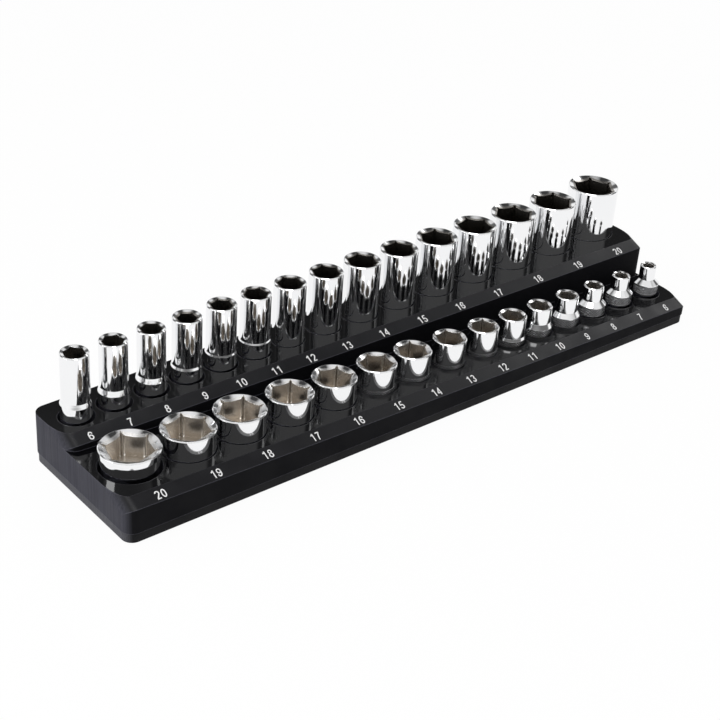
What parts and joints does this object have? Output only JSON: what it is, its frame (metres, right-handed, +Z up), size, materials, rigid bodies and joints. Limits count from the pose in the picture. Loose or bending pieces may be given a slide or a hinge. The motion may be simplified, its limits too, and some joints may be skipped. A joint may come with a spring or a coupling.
{
  "type": "magnetic socket organizer tray",
  "caption": "Two-tier moulded tray that holds a shallow row and a deep row of hexagon drive sockets upright in wells, each held down by a magnet under its well.",
  "frame": {"origin": "middle of the underside", "axes": "+X along the tray towards the end where the deep row has its largest socket, +Y from the low front tier to the high back tier, +Z up"},
  "size_m": [0.3766, 0.0844, 0.064],
  "materials": {
    "tray": "satin black moulding",
    "plate": "matte black moulding",
    "magnet": "nickel plated",
    "strip": "zinc plated strip",
    "screw": "zinc plated",
    "socket_chrome": "polished chrome"
  },
  "bodies": {
    "tray": {"tray_shell": "tray", "base_plate": "plate", "shallow_row_magnets": "magnet", "deep_row_magnets": "magnet", "shallow_keeper_strip": "strip", "deep_keeper_strip": "strip", "base_screws": "screw"},
    "shallow_6": {"shallow_socket_6": "socket_chrome"},
    "shallow_7": {"shallow_socket_7": "socket_chrome"},
    "shallow_8": {"shallow_socket_8": "socket_chrome"},
    "shallow_9": {"shallow_socket_9": "socket_chrome"},
    "shallow_10": {"shallow_socket_10": "socket_chrome"},
    "shallow_11": {"shallow_socket_11": "socket_chrome"},
    "shallow_12": {"shallow_socket_12": "socket_chrome"},
    "shallow_13": {"shallow_socket_13": "socket_chrome"},
    "shallow_14": {"shallow_socket_14": "socket_chrome"},
    "shallow_15": {"shallow_socket_15": "socket_chrome"},
    "shallow_16": {"shallow_socket_16": "socket_chrome"},
    "shallow_17": {"shallow_socket_17": "socket_chrome"},
    "shallow_18": {"shallow_socket_18": "socket_chrome"},
    "shallow_19": {"shallow_socket_19": "socket_chrome"},
    "shallow_20": {"shallow_socket_20": "socket_chrome"},
    "deep_6": {"deep_socket_6": "socket_chrome"},
    "deep_7": {"deep_socket_7": "socket_chrome"},
    "deep_8": {"deep_socket_8": "socket_chrome"},
    "deep_9": {"deep_socket_9": "socket_chrome"},
    "deep_10": {"deep_socket_10": "socket_chrome"},
    "deep_11": {"deep_socket_11": "socket_chrome"},
    "deep_12": {"deep_socket_12": "socket_chrome"},
    "deep_13": {"deep_socket_13": "socket_chrome"},
    "deep_14": {"deep_socket_14": "socket_chrome"},
    "deep_15": {"deep_socket_15": "socket_chrome"},
    "deep_16": {"deep_socket_16": "socket_chrome"},
    "deep_17": {"deep_socket_17": "socket_chrome"},
    "deep_18": {"deep_socket_18": "socket_chrome"},
    "deep_19": {"deep_socket_19": "socket_chrome"},
    "deep_20": {"deep_socket_20": "socket_chrome"}
  },
  "joints": [
    {"name": "shallow_6_lift", "type": "slide", "parent": "tray", "child": "shallow_6", "axis": [0, 0, 1], "range_m": [0, 0.03]},
    {"name": "shallow_7_lift", "type": "slide", "parent": "tray", "child": "shallow_7", "axis": [0, 0, 1], "range_m": [0, 0.03]},
    {"name": "shallow_8_lift", "type": "slide", "parent": "tray", "child": "shallow_8", "axis": [0, 0, 1], "range_m": [0, 0.03]},
    {"name": "shallow_9_lift", "type": "slide", "parent": "tray", "child": "shallow_9", "axis": [0, 0, 1], "range_m": [0, 0.03]},
    {"name": "shallow_10_lift", "type": "slide", "parent": "tray", "child": "shallow_10", "axis": [0, 0, 1], "range_m": [0, 0.03]},
    {"name": "shallow_11_lift", "type": "slide", "parent": "tray", "child": "shallow_11", "axis": [0, 0, 1], "range_m": [0, 0.03]},
    {"name": "shallow_12_lift", "type": "slide", "parent": "tray", "child": "shallow_12", "axis": [0, 0, 1], "range_m": [0, 0.03]},
    {"name": "shallow_13_lift", "type": "slide", "parent": "tray", "child": "shallow_13", "axis": [0, 0, 1], "range_m": [0, 0.03]},
    {"name": "shallow_14_lift", "type": "slide", "parent": "tray", "child": "shallow_14", "axis": [0, 0, 1], "range_m": [0, 0.03]},
    {"name": "shallow_15_lift", "type": "slide", "parent": "tray", "child": "shallow_15", "axis": [0, 0, 1], "range_m": [0, 0.03]},
    {"name": "shallow_16_lift", "type": "slide", "parent": "tray", "child": "shallow_16", "axis": [0, 0, 1], "range_m": [0, 0.03]},
    {"name": "shallow_17_lift", "type": "slide", "parent": "tray", "child": "shallow_17", "axis": [0, 0, 1], "range_m": [0, 0.03]},
    {"name": "shallow_18_lift", "type": "slide", "parent": "tray", "child": "shallow_18", "axis": [0, 0, 1], "range_m": [0, 0.03]},
    {"name": "shallow_19_lift", "type": "slide", "parent": "tray", "child": "shallow_19", "axis": [0, 0, 1], "range_m": [0, 0.03]},
    {"name": "shallow_20_lift", "type": "slide", "parent": "tray", "child": "shallow_20", "axis": [0, 0, 1], "range_m": [0, 0.03]},
    {"name": "deep_6_lift", "type": "slide", "parent": "tray", "child": "deep_6", "axis": [0, 0, 1], "range_m": [0, 0.062]},
    {"name": "deep_7_lift", "type": "slide", "parent": "tray", "child": "deep_7", "axis": [0, 0, 1], "range_m": [0, 0.062]},
    {"name": "deep_8_lift", "type": "slide", "parent": "tray", "child": "deep_8", "axis": [0, 0, 1], "range_m": [0, 0.062]},
    {"name": "deep_9_lift", "type": "slide", "parent": "tray", "child": "deep_9", "axis": [0, 0, 1], "range_m": [0, 0.062]},
    {"name": "deep_10_lift", "type": "slide", "parent": "tray", "child": "deep_10", "axis": [0, 0, 1], "range_m": [0, 0.062]},
    {"name": "deep_11_lift", "type": "slide", "parent": "tray", "child": "deep_11", "axis": [0, 0, 1], "range_m": [0, 0.062]},
    {"name": "deep_12_lift", "type": "slide", "parent": "tray", "child": "deep_12", "axis": [0, 0, 1], "range_m": [0, 0.062]},
    {"name": "deep_13_lift", "type": "slide", "parent": "tray", "child": "deep_13", "axis": [0, 0, 1], "range_m": [0, 0.062]},
    {"name": "deep_14_lift", "type": "slide", "parent": "tray", "child": "deep_14", "axis": [0, 0, 1], "range_m": [0, 0.062]},
    {"name": "deep_15_lift", "type": "slide", "parent": "tray", "child": "deep_15", "axis": [0, 0, 1], "range_m": [0, 0.062]},
    {"name": "deep_16_lift", "type": "slide", "parent": "tray", "child": "deep_16", "axis": [0, 0, 1], "range_m": [0, 0.062]},
    {"name": "deep_17_lift", "type": "slide", "parent": "tray", "child": "deep_17", "axis": [0, 0, 1], "range_m": [0, 0.062]},
    {"name": "deep_18_lift", "type": "slide", "parent": "tray", "child": "deep_18", "axis": [0, 0, 1], "range_m": [0, 0.062]},
    {"name": "deep_19_lift", "type": "slide", "parent": "tray", "child": "deep_19", "axis": [0, 0, 1], "range_m": [0, 0.062]},
    {"name": "deep_20_lift", "type": "slide", "parent": "tray", "child": "deep_20", "axis": [0, 0, 1], "range_m": [0, 0.062]}
  ]
}
